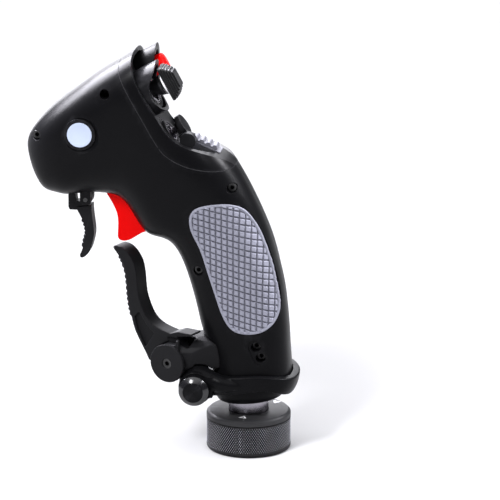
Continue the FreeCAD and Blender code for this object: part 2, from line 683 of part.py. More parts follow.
def stick_cap():
    """A dished disc on the stem, with a barrel held at its lower left."""
    disc = rod(stick_disc_radius, V(0, 0, -1.6), V(0, 0, 1.5))
    dish = Part.makeSphere(18.0, V(0, 0, 1.5 + 16.6))
    barrel = rod(stick_barrel_radius, stick_barrel_at, stick_barrel_at + V(0, 4.8, 0))
    arm = box((-9.0, 3.6, -3.4), (-2.6, stick_barrel_at.y + 1.0, -1.0))
    hub = rod(3.4, V(0, 0, -3.4), V(0, 0, -1.4))
    web = box((-4.0, -1.6, -3.4), (0, 4.6, -1.4))
    cap = fused([disc.cut(dish), barrel, arm, hub, web])
    return placed(cap.cut(rod(1.8, V(0, 0, -6), V(0, 0, -1.0))), stick_frame)


# ---- thumb slider ----------------------------------------------------------------------------
slider_low = V(-9.6, -5.5, -5.0)
slider_high = V(8.4, 5.5, 8.0)


def slider_track():
    block = box(slider_low, (6.4, slider_high.y, 0.2))
    slot = box((-6.6, -1.6, -6), (4.4, 1.6, 2))
    return placed(block.cut(slot), slider_frame)


def thumb_slider():
    plate = box((-7.4, -4.6, 0.35), (6.6, 4.6, 1.2))
    key = box((-4.0, -1.5, -4.6), (3.0, 1.5, 0.4))
    ridges = []
    for k in range(slider_ridges):
        x = -5.8 + 11.0 * k / (slider_ridges - 1)
        ridges.append(rod(1.3, V(x, -4.6, 1.1), V(x, 4.6, 1.1)).cut(box((-20, -9, -2), (20, 9, 0.35))))
    return placed(fused([plate, key] + ridges), slider_frame)


def slider_switch():
    return placed(box((-8.0, -4.5, -9.4), (6.0, 4.5, -5.05)), slider_frame)


# ---- side button -----------------------------------------------------------------------------
def side_button_bezel():
    ring = tube_across(bezel_radius(), side_button_radius + running_gap, side_button_at, -24.9, -15.0)
    return ring


def tube_across(outer, inner, place, y0, y1):
    return cross_rod(outer, place, y0, y1).cut(cross_rod(inner, place, y0 - 1, y1 + 1))


def side_button():
    cap = cross_rod(side_button_radius, side_button_at, -25.4, -17.4)
    hollow = Part.makeSphere(30.0, side_point(side_button_at, -25.4 + 0.5 - 30.0))
    stem = cross_rod(1.6, side_button_at, -18, -15.2)
    return fused([cap.cut(hollow), stem])


def side_button_switch():
    body = box((side_button_at[0] - 5, -13.5, side_button_at[1] - 5),
               (side_button_at[0] + 5, -9.0, side_button_at[1] + 5))
    guide = tube_across(3.2, 1.6 + running_gap, side_button_at, -15.8, -13.5)
    return fused([body, guide])


# ---- trigger ---------------------------------------------------------------------------------
def trigger():
    outline = [curve(trigger_front), curve(trigger_bottom), curve(trigger_rear)]
    blade = prism(outline, trigger_width / 2)
    spring_room = cross_rod(3.4, trigger_pin_at, -3.0, 3.0)
    bore = cross_rod(trigger_pin_radius + running_gap, trigger_pin_at, -10, 10)
    return blade.cut(spring_room).cut(bore)


def trigger_pin():
    return cross_rod(trigger_pin_radius, trigger_pin_at, -12.0, 12.0)


def coil(radius, wire, pitch, turns, frame):
    helix = Part.makeHelix(pitch, pitch * turns, radius)
    section = Part.Wire(Part.Circle(V(radius, 0, 0), V(0, 1, 0), wire).toShape())
    spring = Part.Wire(helix).makePipeShell([section], True, True)
    return placed(spring, frame)


def trigger_spring():
    frame = frame_at(side_point(trigger_pin_at, -2.4), V(1, 0, 0), V(0, 0, -1), V(0, 1, 0))
    return coil(2.5, spring_wire_radius, 1.3, 3.3, frame)


def trigger_switch():
    return box((-45.0, -3.2, 124.0), (-37.0, 3.2, 132.0))


# ---- flip trigger ----------------------------------------------------------------------------
def flip_trigger():
    blade = prism([curve(flip_front), curve(flip_tip), curve(flip_rear)]
                  + lines([flip_rear[-1], flip_front[0]]), flip_width / 2)
    hub = cross_rod(3.2, flip_pin_at, -flip_width / 2, flip_width / 2)
    tab = prism(lines([(-95.8, 140.4), (-92.4, 140.4), (-91.6, 132.8), (-86.0, 132.8), (-86.0, 128.6),
                       (-91.6, 128.0), (-95.0, 128.0), (-95.8, 129.4), (-95.8, 140.4)]), 3.0)
    lever = fused([blade, hub, tab])
    return lever.cut(cross_rod(flip_pin_radius + running_gap, flip_pin_at, -10, 10))


def flip_bracket():
    """Two ears under the head, joined by a bridge behind the shell's underside."""
    ears = []
    x, z = flip_pin_at
    for side in (LEFT, RIGHT):
        y0, y1 = sorted((side * 4.1, side * 5.9))
        ears.append(cross_rod(2.9, flip_pin_at, y0, y1))
        ears.append(box((x - 2.9, y0, z), (x + 2.9, y1, 144.9)))
        ears.append(box((x, y0, 141.8), (-79.8, y1, 144.9)))
    bridge = box((-83.2, -9.0, 143.3), (-79.8, 9.0, 144.9))
    return fused(ears + [bridge]).cut(cross_rod(flip_pin_radius, flip_pin_at, -10, 10))


def flip_pin():
    return cross_rod(flip_pin_radius, flip_pin_at, -5.9, 5.9)


def flip_switch():
    return box((-83.2, -3.0, 144.9), (-79.2, 3.0, 149.5))


# ---- brake lever -----------------------------------------------------------------------------
def beside_knuckle():
    """The space beside the knuckle that the bracket's ears need."""
    slabs = []
    for side in (LEFT, RIGHT):
        y0, y1 = sorted((side * lever_knuckle_width / 2, side * 30))
        slabs.append(cross_rod(bracket_ear_radius + 0.6, (0, 0), y0, y1))
        slabs.append(prism(lines([(-20, -20), (-20, 12.6), (3.4, 12.6), (0.6, 0), (0.5, -20), (-20, -20)]),
                           (y1 - y0) / 2, (y0 + y1) / 2))
    return fused(slabs)


def brake_lever():
    tail = [(1.9, 15.2), (-3.0, 16.4), (-11.6, 16.2), (-11.6, 15.1), (-2.6, 13.4), (-5.0, 6.0)]
    outline = [curve(lever_front), curve(lever_tip), curve(lever_rear)]
    outline += lines([lever_rear[-1]] + tail[1:] + [(0.0, -8.0), lever_front[0]])
    lever = prism(outline, lever_width / 2)
    half_knuckle = lever_knuckle_width / 2
    lever = lever.fuse(cross_rod(lever_hub_radius, (0, 0), -half_knuckle, half_knuckle))
    lever = lever.cut(beside_knuckle())
    for side in (LEFT, RIGHT):
        y0, y1 = sorted((side * 3.0, side * 10.0))
        panel = lines([(17.6, 4.6), (22.6, 13.6), (24.4, 20.4), (21.4, 23.6), (16.4, 16.6), (12.0, 13.0),
                       (17.6, 4.6)])
        pocket = prism(panel, (y1 - y0) / 2, (y0 + y1) / 2)
        lever = lever.cut(pocket)
    lever = lever.cut(lever_pad_local())
    lever = lever.cut(cross_rod(hinge_pin_radius + running_gap, (0, 0), -20, 20))
    lever = lever.cut(cross_rod(5.2, (0, 0), -3.9, -0.4))
    lever = lever.cut(magnet_local())
    return placed(lever.removeSplitter(), lever_frame)


def lever_pad_local():
    """A ribbed strip let into the lever's front."""
    inner = [(x - 1.2, z) for x, z in pad_on_lever]
    outer = [(x + 0.4, z) for x, z in pad_on_lever]
    ends = lines([inner[0], outer[0]]) + lines([inner[-1], outer[-1]])
    strip = prism([curve(inner), curve(outer)] + ends, 3.4)
    return strip


def lever_pad():
    return placed(lever_pad_local(), lever_frame)


def magnet_local():
    return cross_rod(1.2, (-6.9, 0.0), -3.6, -1.4)


def sensor_magnet():
    return placed(magnet_local(), lever_frame)


def plan_prism(points, z0, z1):
    """A plan-view outline, as (x, y), made into a solid between two heights."""
    loop = [V(x, y, z0) for x, y in points]
    return Part.Face(Part.makePolygon(loop + loop[:1])).extrude(V(0, 0, z1 - z0))


def lever_bracket():
    """Two ears round the lever's knuckle, on a block that grows out of the handle's front."""
    ears = []
    for side, radius in ((LEFT, far_ear_radius), (RIGHT, bracket_ear_radius)):
        y0, y1 = sorted((side * (lever_knuckle_width / 2 + face_gap), side * bracket_half_width))
        ears.append(placed(cross_rod(radius, (0, 0), y0, y1), lever_frame))
    plan = [(-40.0, -19.2), (-37.2, -21.0), (-30.0, -21.6), (-22.0, -18.8), (-12.0, -15.0), (-12.0, 9.0),
            (-21.0, 5.5), (-29.0, -1.0), (-32.4, -3.0)]
    block = plan_prism(plan, hinge_at.z - 5.4, hinge_at.z + 12.4)
    sole = prism(lines([(-29.5, 47.4), (-29.5, 40), (-10, 40), (-10, 47.4), (-29.5, 47.4)]), 40)
    nose = cross_rod(bracket_ear_radius, (hinge_at.x, hinge_at.z), -40, 40)
    front_half = box((-60, -40, 0), (-36.0, 40, 80)).cut(nose)
    bracket = fused([block.cut(front_half).cut(sole)] + ears)
    knuckle_room = prism(lines([(-9.2, -20), (-9.2, 12.0), (-12.0, 30), (40, 30), (40, -20), (-9.2, -20)]),
                         lever_knuckle_width / 2 + face_gap)
    bracket = bracket.cut(placed(knuckle_room, lever_frame))
    bracket = bracket.cut(placed(cross_rod(hinge_pin_radius, (0, 0), -20, 20), lever_frame))
    bracket = bracket.cut(cross_rod(lug_radius + 0.2, clamp_at, -20, 20))
    bracket = bracket.cut(cross_rod(clamp_radius + 0.3, clamp_at, -40, -boss_inner_y + 0.1))
    bracket = bracket.cut(box((-60, -40, 40), (0, -boss_inner_y + 0.1, 47.4)).common(sole))
    for side in (LEFT, RIGHT):
        y0, y1 = sorted((side * bracket_half_width, side * 30))
        bracket = bracket.cut(placed(cross_rod(hinge_cap_radius + 0.3, (0, 0), y0, y1), lever_frame))
    bracket = bracket.cut(sensor_board())
    bracket = bracket.cut(whole_body(face_gap)).cut(placed(beside_tail(), lever_frame))
    return max(bracket.Solids, key=lambda solid: solid.Volume)


def beside_tail():
    """Room above the bracket for the lever's tail."""
    return box((-16.5, -lever_width / 2 - 0.3, 12.0), (40, lever_width / 2 + 0.3, 30))


def hinge_pin():
    return placed(cross_rod(hinge_pin_radius, (0, 0), -bracket_half_width, bracket_half_width), lever_frame)


def hinge_caps():
    caps = []
    for side, radius in ((LEFT, far_cap_radius), (RIGHT, hinge_cap_radius)):
        y0, y1 = sorted((side * bracket_half_width, side * (bracket_half_width + hinge_cap_thickness)))
        caps.append(cross_rod(radius, (0, 0), y0, y1).cut(cross_rod(2.6, (0, 0), y0 - 1, y1 + 1)))
    return placed(Part.Compound(caps), lever_frame)


def hinge_screws():
    heads = []
    for side in (LEFT, RIGHT):
        y0 = side * bracket_half_width
        y1 = side * (bracket_half_width + hinge_cap_thickness - 0.6)
        head = cross_rod(2.6, (0, 0), y0, y1)
        heads.append(head.cut(cross_rod(1.2, (0, 0), y1 - side * 0.9, y1)))
    return placed(Part.Compound(heads), lever_frame)


def brake_spring():
    frame = frame_at(V(0, -3.4, 0), V(1, 0, 0), V(0, 0, -1), V(0, 1, 0))
    return placed(coil(4.0, spring_wire_radius, 1.25, 1.7, frame), lever_frame)


def sensor_board():
    return placed(box((-12.0, -3.2, 0.0), (-10.4, 3.2, 6.0)), lever_frame)


# ---- electronics inside the grip -------------------------------------------------------------
def handle_board():
    board = box((-10, 2.2, -22), (10, 3.8, 22))
    parts = [box((-6, 3.8, -16), (4, 6.0, -6)), box((-4, 3.8, 4), (4, 5.2, 12))]
    lean = FreeCAD.Placement(V(-6.0, 0, 88), FreeCAD.Rotation(Y_AXIS, -10))
    return placed(fused([board] + parts), lean)


def head_board():
    board = box((-103.0, 2.2, 150.5), (-76.0, 3.8, 168.0))
    return fused([board, box((-96.0, 3.8, 155.0), (-86.0, 6.0, 163.0))])


def rounded_path(points):
    """Straight runs joined by arcs that are as large as the two runs allow."""
    edges = []
    start = points[0]
    for before, corner, after in zip(points, points[1:], points[2:]):
        into = (corner - before)
        out = (after - corner)
        turn = into.getAngle(out)
        cut = 0.45 * min(into.Length, out.Length)
        into.normalize()
        out.normalize()
        radius = cut / math.tan(turn / 2)
        a = corner - into * cut
        b = corner + out * cut
        centre = corner + (out - into).normalize() * (radius / math.cos(turn / 2))
        middle = centre + (corner - centre).normalize() * radius
        edges.append(Part.makeLine(start, a))
        edges.append(Part.Arc(a, middle, b).toShape())
        start = b
    edges.append(Part.makeLine(start, points[-1]))
    return Part.Wire(edges)


def wiring_loom():
    """The wires from the connector up through the neck and the handle into the head."""
    route = [V(0, 0, 24.5), V(0, 0, 50), V(-3, -4, 76), V(-9, -4.5, 102), V(-18, -3, 126), V(-36, -1, 146),
             V(-58, 0, 157), V(-75.8, 0, 159)]
    path = rounded_path(route)
    section = Part.Wire(Part.Circle(route[0], Z_AXIS, 1.9).toShape())
    return path.makePipeShell([section], True, False)


# ---- everything, by node name ----------------------------------------------------------------
nodes = {
    "ring_nut": ring_nut,
    "neck_post": neck_post,
    "connector_body": connector_body,
    "connector_pins": connector_pins,
    "base_dome": base_dome,
    "clamp_lug": clamp_lug,
    "hand_rest": hand_rest,
    "clamp_bolt": clamp_bolt,
    "clamp_knob": clamp_knob,
    "clamp_nut": clamp_nut,
    "left_shell": lambda: main_shell(LEFT),
    "right_shell": lambda: main_shell(RIGHT),
    "left_pad": lambda: grip_pad(LEFT),
    "right_pad": lambda: grip_pad(RIGHT),
    "shell_screws": lambda: fasteners(shell_screws_at),
    "base_screws": lambda: fasteners(base_screws_at),
    "thumb_panel": thumb_panel,
    "hat_shroud": hat_shroud,
    "hat_switch_body": hat_switch_body,
    "hat_gimbal_ring": hat_gimbal_ring,
    "hat_stem": hat_stem,
    "hat_disc": hat_disc,
    "hat_cap": hat_cap,
    "button_shroud": button_shroud,
    "red_button": red_button,
    "red_button_switch": red_button_switch,
    "stick_base": stick_base,
    "stick_gimbal_ring": stick_gimbal_ring,
    "stick_stem": stick_stem,
    "stick_cap": stick_cap,
    "slider_track": slider_track,
    "thumb_slider": thumb_slider,
    "slider_switch": slider_switch,
    "side_button": side_button,
    "side_button_bezel": side_button_bezel,
    "side_button_switch": side_button_switch,
    "trigger": trigger,
    "trigger_pin": trigger_pin,
    "trigger_spring": trigger_spring,
    "trigger_switch": trigger_switch,
    "flip_trigger": flip_trigger,
    "flip_bracket": flip_bracket,
    "flip_pin": flip_pin,
    "flip_switch": flip_switch,
    "brake_lever": brake_lever,
    "lever_pad": lever_pad,
    "lever_bracket": lever_bracket,
    "hinge_pin": hinge_pin,
    "hinge_caps": hinge_caps,
    "hinge_screws": hinge_screws,
    "brake_spring": brake_spring,
    "sensor_magnet": sensor_magnet,
    "sensor_board": sensor_board,
    "handle_board": handle_board,
    "head_board": head_board,
    "wiring_loom": wiring_loom,
}

os.makedirs("parts", exist_ok=True)
for name, make in nodes.items():
    shape = make()
    shape.exportStep("parts/" + name + ".step")
    print(name, "solids", len(shape.Solids), "valid", shape.isValid(), "volume", round(shape.Volume, 1))
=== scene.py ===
import json
import math

import bmesh
import bpy
from mathutils import Matrix, Vector
from mathutils.bvhtree import BVHTree


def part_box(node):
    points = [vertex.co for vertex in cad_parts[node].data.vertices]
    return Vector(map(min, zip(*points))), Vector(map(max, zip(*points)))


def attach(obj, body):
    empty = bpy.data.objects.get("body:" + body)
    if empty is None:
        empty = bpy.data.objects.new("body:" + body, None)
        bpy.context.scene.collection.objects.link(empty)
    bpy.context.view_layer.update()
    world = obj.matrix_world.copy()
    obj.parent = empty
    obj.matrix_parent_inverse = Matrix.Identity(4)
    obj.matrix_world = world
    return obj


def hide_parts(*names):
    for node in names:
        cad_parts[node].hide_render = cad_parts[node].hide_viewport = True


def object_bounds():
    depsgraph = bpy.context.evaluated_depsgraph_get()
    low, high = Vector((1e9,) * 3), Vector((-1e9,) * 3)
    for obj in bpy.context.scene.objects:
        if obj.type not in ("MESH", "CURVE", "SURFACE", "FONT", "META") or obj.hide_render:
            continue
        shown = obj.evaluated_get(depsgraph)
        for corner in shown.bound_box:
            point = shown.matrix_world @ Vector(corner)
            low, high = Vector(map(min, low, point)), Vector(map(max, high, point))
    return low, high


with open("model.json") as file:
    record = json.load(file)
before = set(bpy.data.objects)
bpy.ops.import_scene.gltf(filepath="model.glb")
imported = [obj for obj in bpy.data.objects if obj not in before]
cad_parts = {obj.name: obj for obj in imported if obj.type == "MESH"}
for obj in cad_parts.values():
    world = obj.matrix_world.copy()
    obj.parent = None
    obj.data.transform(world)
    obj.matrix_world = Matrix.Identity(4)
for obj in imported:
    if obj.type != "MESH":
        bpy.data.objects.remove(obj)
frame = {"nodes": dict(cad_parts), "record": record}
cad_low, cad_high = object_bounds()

# Looks for a flight joystick grip. Metres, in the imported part's frame: +Z up, the nose to -X, the
# pilot's left to -Y. Sizes below are in millimetres times MM.
MM = 0.001
UP = Vector((0, 0, 1))
FORE_AFT = Vector((1, 0, 0))
ACROSS = Vector((0, 1, 0))
WELD = 0.002 * MM

CAMERA_AZIMUTH = 8
CAMERA_ELEVATION = 16
CAMERA_DISTANCE = 1.9
CAMERA_TARGET = Vector((0.7, 0.0, 108.7)) * MM
LENS = 259.4

joints = {joint["name"]: joint for joint in frame["record"]["behaviour"]["joints"]}


# ---- camera ---------------------------------------------------------------------------------
def make_camera():
    """A long lens, a little above the grip and a little towards the pilot's side."""
    azimuth = math.radians(CAMERA_AZIMUTH)
    elevation = math.radians(CAMERA_ELEVATION)
    back = Vector((math.sin(azimuth) * math.cos(elevation), -math.cos(azimuth) * math.cos(elevation),
                   math.sin(elevation)))
    data = bpy.data.cameras.new("camera")
    data.lens = LENS
    data.sensor_width = 36
    data.clip_start = 0.1
    data.clip_end = 20
    camera = bpy.data.objects.new("camera", data)
    camera.location = CAMERA_TARGET + back * CAMERA_DISTANCE
    camera.rotation_mode = "QUATERNION"
    camera.rotation_quaternion = (-back).to_track_quat("-Z", "Y")
    bpy.context.collection.objects.link(camera)
    bpy.context.scene.camera = camera


# ---- materials --------------------------------------------------------------------------------
class Nodes:
    """A short way to build a material's node tree."""

    def __init__(self, name):
        self.material = bpy.data.materials.new(name)
        self.material.use_nodes = True
        self.tree = self.material.node_tree
        self.shader = self.tree.nodes["Principled BSDF"]
        coordinates = self.add("ShaderNodeTexCoord")
        self.place = coordinates.outputs["Object"]

    def add(self, kind, **settings):
        node = self.tree.nodes.new(kind)
        for key, value in settings.items():
            setattr(node, key, value)
        return node

    def link(self, output, socket):
        self.tree.links.new(output, socket)

    def noise(self, size, detail=3.0, roughness=0.55, stretch=None):
        """Noise whose features are about this size in metres."""
        node = self.add("ShaderNodeTexNoise")
        node.inputs["Scale"].default_value = 1.0 / size
        node.inputs["Detail"].default_value = detail
        node.inputs["Roughness"].default_value = roughness
        source = self.place
        if stretch:
            mapping = self.add("ShaderNodeMapping")
            mapping.inputs["Scale"].default_value = stretch
            self.link(self.place, mapping.inputs["Vector"])
            source = mapping.outputs["Vector"]
        self.link(source, node.inputs["Vector"])
        return node.outputs["Fac"]

    def ramp(self, value, low, high, start=0.0, end=1.0):
        node = self.add("ShaderNodeMapRange")
        node.inputs["From Min"].default_value = start
        node.inputs["From Max"].default_value = end
        node.inputs["To Min"].default_value = low
        node.inputs["To Max"].default_value = high
        self.link(value, node.inputs["Value"])
        return node.outputs["Result"]

    def mix(self, factor, first, second):
        node = self.add("ShaderNodeMix", data_type="RGBA")
        for socket, value in ((node.inputs[6], first), (node.inputs[7], second)):
            if isinstance(value, tuple):
                socket.default_value = (*value, 1.0)
            else:
                self.link(value, socket)
        self.link(factor, node.inputs[0])
        return node.outputs[2]

    def math(self, operation, first, second):
        node = self.add("ShaderNodeMath", operation=operation)
        for socket, value in zip(node.inputs, (first, second)):
            if isinstance(value, (int, float)):
                socket.default_value = value
            else:
                self.link(value, socket)
        return node.outputs[0]

    def rounded(self, radius):
        """Normals that round the sharp edges of a moulding."""
        node = self.add("ShaderNodeBevel", samples=6)
        node.inputs["Radius"].default_value = radius
        return node.outputs["Normal"]

    def bump(self, height, distance, strength, normal=None):
        node = self.add("ShaderNodeBump")
        node.inputs["Distance"].default_value = distance
        node.inputs["Strength"].default_value = strength
        self.link(height, node.inputs["Height"])
        if normal:
            self.link(normal, node.inputs["Normal"])
        return node.outputs["Normal"]

    def convex_edge_mask(self, start, end):
        """1 on convex edges, 0 elsewhere: edges that hands polish, and on the thumb controls a painted edge
        highlight.
        """
        geometry = self.add("ShaderNodeNewGeometry")
        return self.ramp(geometry.outputs["Pointiness"], 0.0, 1.0, start, end)

    def set(self, name, value):
        socket = self.shader.inputs[name]
        if isinstance(value, bpy.types.NodeSocket):
            self.link(value, socket)
        elif isinstance(value, tuple):
            socket.default_value = (*value, 1.0)
        else:
            socket.default_value = value


def moulded(name, colour, wear_and_painted_highlight_colour, roughness, grain_size, grain_height, edge=0.3 * MM, specular=0.045,
             wear_and_painted_highlight_amount=0.25, painted_glow=None):
    """Moulded plastic or rubber: fine spark-eroded grain, handling sheen, and polished, lighter convex edges
    (hand wear, and on the thumb controls mostly a painted edge highlight). An optional faint emission is a
    painted glow.
    """
    n = Nodes(name)
    patches = n.noise(22 * MM, 2.0)
    fine = n.noise(grain_size, 2.0, 0.6)
    smears = n.noise(9 * MM, 3.0, 0.6, stretch=(1.0, 1.0, 0.35))
    # Lighter, glossier convex edges: hand wear. At the full amount on the thumb controls, mostly a painted
    # edge highlight.
    wear = n.math("MULTIPLY", n.convex_edge_mask(0.53, 0.62), n.ramp(n.noise(3 * MM, 3.0), 0.2, 1.0, 0.35, 0.65))
    shade = n.mix(n.ramp(patches, 0.0, 1.0, 0.3, 0.7), colour, tuple(c * 1.2 for c in colour))
    shade = n.mix(n.ramp(fine, 0.0, 0.25, 0.4, 0.8), shade, tuple(c * 1.4 for c in colour))
    n.set("Base Color", n.mix(n.math("MULTIPLY", wear, wear_and_painted_highlight_amount), shade, wear_and_painted_highlight_colour))
    level = n.math("ADD", n.ramp(smears, -0.05, 0.06), n.ramp(fine, roughness - 0.03, roughness + 0.05))
    n.set("Roughness", n.math("SUBTRACT", level, n.math("MULTIPLY", wear, 0.08)))
    n.set("Normal", n.bump(fine, grain_height, 0.5, n.rounded(edge)))
    n.set("Specular IOR Level", specular)
    # A faint emission: painted glow on a button that is no lamp.
    if painted_glow:
        n.set("Emission Color", painted_glow)
        n.set("Emission Strength", 0.08)
    return n.material


def metal(name, colour, roughness, brush_axis, edge=0.15 * MM, metallic=1.0, specular=0.5):
    """Turned or brushed metal with fine tool marks along one axis."""
    n = Nodes(name)
    stretch = tuple(0.06 if k == brush_axis else 1.0 for k in range(3))
    marks = n.noise(0.25 * MM, 4.0, 0.7, stretch=stretch)
    cloud = n.noise(7 * MM, 3.0)
    wear = n.convex_edge_mask(0.52, 0.6)
    shade = n.mix(n.ramp(cloud, 0.0, 1.0, 0.3, 0.7), colour, tuple(c * 1.3 for c in colour))
    n.set("Base Color", n.mix(wear, shade, tuple(min(1.0, c * 2.2 + 0.06) for c in colour)))
    n.set("Metallic", metallic)
    n.set("Specular IOR Level", specular)
    tooled = n.ramp(marks, roughness - 0.05, roughness + 0.08)
    n.set("Roughness", n.math("ADD", n.ramp(cloud, -0.04, 0.06), tooled))
    n.set("Normal", n.bump(marks, 0.01 * MM, 0.35, n.rounded(edge)))
    return n.material


def knurled_metal():
    """Black anodised aluminium whose knurl crests are rubbed bright."""
    n = Nodes("knurled_black_metal")
    crest = n.convex_edge_mask(0.51, 0.58)
    rubbed = n.math("MULTIPLY", crest, n.ramp(n.noise(2.5 * MM, 4.0), 0.35, 1.0, 0.3, 0.6))
    cloud = n.noise(8 * MM, 3.0)
    shade = n.mix(n.ramp(cloud, 0.0, 1.0, 0.3, 0.7), (0.003, 0.003, 0.0035), (0.006, 0.006, 0.007))
    n.set("Base Color", n.mix(rubbed, shade, (0.55, 0.55, 0.6)))
    n.set("Metallic", 0.9)
    n.set("Roughness", n.math("ADD", n.ramp(cloud, 0.26, 0.36), n.math("MULTIPLY", rubbed, -0.08)))
    n.set("Normal", n.bump(n.noise(0.12 * MM, 3.0), 0.01 * MM, 0.3))
    return n.material


def board():
    n = Nodes("circuit_board")
    tracks = n.add("ShaderNodeTexBrick")
    tracks.inputs["Scale"].default_value = 260
    n.link(n.place, tracks.inputs["Vector"])
    n.set("Base Color", n.mix(tracks.outputs["Fac"], (0.02, 0.12, 0.05), (0.05, 0.2, 0.09)))
    n.set("Roughness", n.ramp(n.noise(2 * MM), 0.3, 0.5))
    return n.material


def floor_finish():
    n = Nodes("floor_paper")
    n.set("Base Color", n.mix(n.noise(40 * MM), (0.88, 0.88, 0.89), (0.9, 0.9, 0.91)))
    n.set("Roughness", n.ramp(n.noise(5 * MM), 0.75, 0.9))
    return n.material


BLACK = (0.0034, 0.0034, 0.0039)
finishes = {
    "black_plastic": moulded("satin_black_plastic", BLACK, (0.05, 0.05, 0.055), 0.31, 0.22 * MM, 0.012 * MM),
    "lever_plastic": moulded("semi_gloss_black", (0.009, 0.009, 0.0098), (0.04, 0.04, 0.045), 0.4, 0.3 * MM,
                             0.006 * MM),
    "pad_rubber": moulded("grey_grip_rubber", (0.215, 0.218, 0.262), (0.34, 0.34, 0.4), 0.33, 0.15 * MM,
                          0.01 * MM, edge=0.12 * MM),
    "red_plastic": moulded("red_plastic", (0.56, 0.0, 0.0), (0.62, 0.0, 0.0), 0.4, 0.3 * MM, 0.005 * MM,
                           specular=0.05),
    "white_plastic": moulded("white_plastic", (0.8, 0.8, 0.82), (0.9, 0.9, 0.9), 0.3, 0.3 * MM, 0.004 * MM),
    # The pale side button: its faint blue-white emission is a painted glow.
    "pale_button": moulded("pale_button_plastic_painted_glow", (0.36, 0.41, 0.52), (0.44, 0.5, 0.62), 0.3, 0.3 * MM,
                           0.006 * MM, painted_glow=(0.6, 0.7, 0.95)),
    "grey_plastic": moulded("grey_slider_plastic", (0.1, 0.1, 0.115), (0.22, 0.22, 0.25), 0.38, 0.2 * MM,
                            0.01 * MM),
    "dark_metal": metal("dark_turned_metal", (0.008, 0.008, 0.009), 0.42, 1, metallic=0.03,
                        specular=0.06),
    "polished_metal": metal("black_chrome", (0.22, 0.21, 0.235), 0.22, 0),
    "screw_steel": metal("blackened_steel", (0.002, 0.002, 0.0022), 0.5, 1),
    "contact_brass": metal("plated_brass", (0.8, 0.6, 0.25), 0.2, 2),
    "inner_plastic": moulded("switch_plastic", (0.03, 0.03, 0.032), (0.06, 0.06, 0.06), 0.45, 0.3 * MM,
                             0.006 * MM),
    "circuit_board": board(),
    "wire_sheath": moulded("wire_sheath", (0.02, 0.02, 0.02), (0.04, 0.04, 0.04), 0.5, 0.4 * MM, 0.01 * MM),
}
knurl_finish = knurled_metal()
crest_finish = metal("rubbed_knurl_crests", (0.24, 0.24, 0.26), 0.3, 2)
knob_finish = moulded("gloss_black", (0.006, 0.006, 0.007), (0.05, 0.05, 0.05), 0.16, 0.4 * MM, 0.003 * MM,
                      specular=0.5)
# Thumb controls: near-black, with convex edges mixed fully to light grey. This is partly edge wear and
# mostly a painted edge highlight on the hat cap and stem.
painted_highlight_control_finish = moulded("thumb_control_plastic_painted_edge_highlight", (0.005, 0.005, 0.0055), (0.16, 0.16, 0.17), 0.34, 0.2 * MM,
                         0.008 * MM, edge=0.15 * MM, specular=0.12, wear_and_painted_highlight_amount=1.0)
# Darker grey for the pad's groove floors: painted shade between the raised pyramids.
groove_painted_shade_finish = moulded("grey_rubber_painted_groove_shade", (0.09, 0.09, 0.11), (0.12, 0.12, 0.14), 0.5, 0.15 * MM,
                        0.01 * MM)
rib_finish = moulded("black_rib_rubber", (0.014, 0.014, 0.015), (0.05, 0.05, 0.055), 0.42, 0.2 * MM,
                     0.01 * MM, edge=0.1 * MM)

# Nodes whose finish differs from their material slot's. The hat stem's light edges are partly a painted
# highlight.
special = {"stick_cap": finishes["lever_plastic"], "flip_pin": finishes["screw_steel"],
           "hat_stem": painted_highlight_control_finish}


def dress_nodes():
    """Give every CAD node the finish of its material slot."""
    for part in frame["record"]["subparts"]:
        node = frame["nodes"][part["node"]]
        node.data.materials.clear()
        node.data.materials.append(special.get(part["node"], finishes[part["material_slot"]]))


# ---- mesh helpers -------------------------------------------------------------------------------
def face_outwards(mesh):
    shaped = bmesh.new()
    shaped.from_mesh(mesh)
    bmesh.ops.recalc_face_normals(shaped, faces=shaped.faces)
    shaped.to_mesh(mesh)
    shaped.free()


def piece(name, vertices, faces, finish, body, hides=(), sharp=35, kinds=None):
    """A new piece from points and faces. kinds gives each face's place in a tuple of finishes."""
    mesh = bpy.data.meshes.new(name)
    mesh.from_pydata([tuple(v) for v in vertices], [], faces)
    if kinds:
        mesh.polygons.foreach_set("material_index", kinds)
    face_outwards(mesh)
    return finished_piece(name, mesh, finish, body, hides, sharp)


def finished_piece(name, mesh, finish, body, hides=(), sharp=35):
    """Shade a mesh, give it its finish, and hang it on its body."""
    mesh.polygons.foreach_set("use_smooth", [True] * len(mesh.polygons))
    mesh.set_sharp_from_angle(angle=math.radians(sharp))
    kinds = [face.material_index for face in mesh.polygons]
    mesh.materials.clear()
    for each in finish if isinstance(finish, tuple) else (finish,):
        mesh.materials.append(each)
    if isinstance(finish, tuple):
        mesh.polygons.foreach_set("material_index", kinds)
    thing = bpy.data.objects.new(name, mesh)
    bpy.context.collection.objects.link(thing)
    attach(thing, body)
    if hides:
        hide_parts(*hides)
    return thing


def body_of(node):
    for body, nodes in frame["record"]["behaviour"]["bodies"].items():
        if node in nodes:
            return body


def slot_of(node):
    for part in frame["record"]["subparts"]:
        if part["node"] == node:
            return part["material_slot"]


def softened(node, width, finish=None):
    """A copy of a CAD node with its edges really rounded over, standing for the node."""
    mesh = frame["nodes"][node].data.copy()
    shaped = bmesh.new()
    shaped.from_mesh(mesh)
    bmesh.ops.remove_doubles(shaped, verts=shaped.verts, dist=WELD)
    bmesh.ops.dissolve_limit(shaped, angle_limit=math.radians(0.6), verts=shaped.verts, edges=shaped.edges)
    shaped.to_mesh(mesh)
    shaped.free()
    thing = finished_piece(node + "_moulding", mesh, finish or finishes[slot_of(node)], body_of(node),
                           (node,))
    bevel = thing.modifiers.new("rounded", "BEVEL")
    bevel.width = width
    bevel.segments = 3
    bevel.limit_method = "ANGLE"
    bevel.angle_limit = math.radians(38)
    bevel.harden_normals = True
    bevel.use_clamp_overlap = True
    return thing


